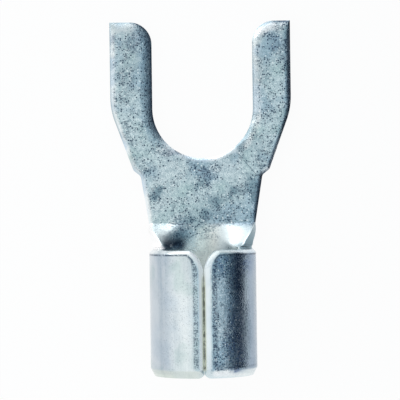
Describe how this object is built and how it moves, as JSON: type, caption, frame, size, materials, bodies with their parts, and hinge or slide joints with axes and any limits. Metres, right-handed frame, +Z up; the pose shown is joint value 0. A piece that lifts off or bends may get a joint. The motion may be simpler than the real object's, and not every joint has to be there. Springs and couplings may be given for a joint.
{
  "type": "fork terminal",
  "caption": "Bare crimp fork terminal stamped from tinned copper sheet: an open flat fork for a screw stud, a curled neck and a rolled barrel with a butted seam for the wire.",
  "frame": {"origin": "middle of the footprint, on the surface that the tongue and the back of the barrel lie on", "axes": "+Y along the terminal towards the tips of the fork, +Z up, out of the barrel's seam, +X across the fork"},
  "size_m": [0.0094, 0.0184, 0.0055],
  "materials": {
    "tinned_copper": "dull bright tin plate, speckled and lightly tarnished"
  },
  "bodies": {
    "root": {"fork_terminal": "tinned_copper"}
  },
  "joints": []
}
